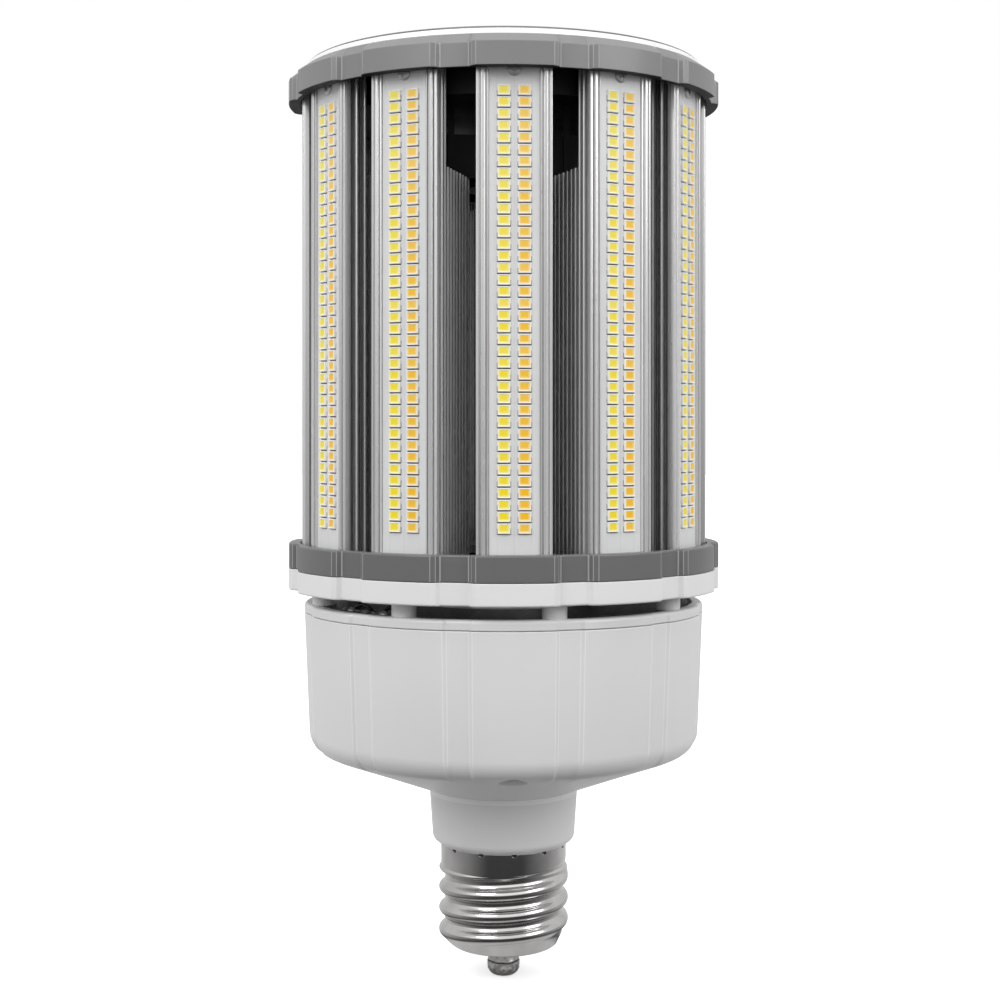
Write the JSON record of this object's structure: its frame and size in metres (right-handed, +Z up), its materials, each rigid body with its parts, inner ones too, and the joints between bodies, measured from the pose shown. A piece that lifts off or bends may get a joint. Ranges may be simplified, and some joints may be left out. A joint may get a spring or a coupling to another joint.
{
  "type": "corn led bulb",
  "caption": "Retrofit lamp with finned aluminium strips of light emitters round an open core, a fan under the clear end cap, a white driver housing and a mogul screw base.",
  "frame": {"origin": "Tip of the end contact, on the lamp's axis.", "axes": "+Z runs along the lamp's axis from the screw base to the clear end cap. -Y points out of the face of the first strip, and +X is to its right when that strip is faced with +Z up."},
  "size_m": [0.13, 0.13, 0.2752],
  "materials": {
    "contact": "dull nickel plate",
    "insulator": "dark glass-like insulator",
    "shell": "bright nickel plate over rolled sheet",
    "housing": "semi-gloss white moulding",
    "screw": "zinc plate",
    "circuit_board": "dark green laminate",
    "ferrite": "ferrite core with taped coil",
    "can": "sleeved aluminium can",
    "ring": "satin mid-grey moulding",
    "black_plate": "matt black paint",
    "fan_plastic": "black moulding",
    "bar": "natural extruded aluminium",
    "white_board": "white solder mask on aluminium",
    "emitter": "phosphor in a white package",
    "lens": "clear polycarbonate"
  },
  "bodies": {
    "lamp": {"base_insulator": "insulator", "bottom_clamp_ring": "ring", "clamp_screws": "screw", "driver_board": "circuit_board", "driver_capacitors": "can", "driver_housing": "housing", "driver_transformer": "ferrite", "end_contact": "contact", "fan_carrier": "fan_plastic", "fan_frame": "fan_plastic", "fan_screws": "screw", "heatsink_bar_01": "bar", "heatsink_bar_02": "bar", "heatsink_bar_03": "bar", "heatsink_bar_04": "bar", "heatsink_bar_05": "bar", "heatsink_bar_06": "bar", "heatsink_bar_07": "bar", "heatsink_bar_08": "bar", "heatsink_bar_09": "bar", "heatsink_bar_10": "bar", "heatsink_bar_11": "bar", "heatsink_bar_12": "bar", "housing_lid": "housing", "housing_screws": "screw", "led_board_01": "white_board", "led_board_02": "white_board", "led_board_03": "white_board", "led_board_04": "white_board", "led_board_05": "white_board", "led_board_06": "white_board", "led_board_07": "white_board", "led_board_08": "white_board", "led_board_09": "white_board", "led_board_10": "white_board", "led_board_11": "white_board", "led_board_12": "white_board", "led_packages_01": "emitter", "led_packages_02": "emitter", "led_packages_03": "emitter", "led_packages_04": "emitter", "led_packages_05": "emitter", "led_packages_06": "emitter", "led_packages_07": "emitter", "led_packages_08": "emitter", "led_packages_09": "emitter", "led_packages_10": "emitter", "led_packages_11": "emitter", "led_packages_12": "emitter", "plate_screws": "screw", "screw_shell": "shell", "seat_ring": "housing", "strip_screws": "screw", "top_clamp_ring": "ring", "top_led_board": "white_board", "top_leds": "emitter", "top_lens": "lens", "top_plate": "black_plate", "wiring_board": "circuit_board"},
    "fan": {"fan_rotor": "fan_plastic"}
  },
  "joints": [
    {"name": "fan_spin", "type": "hinge", "parent": "lamp", "child": "fan", "pos_m": [0, 0, 0.2445], "axis": [0, 0, 1], "continuous": true}
  ]
}
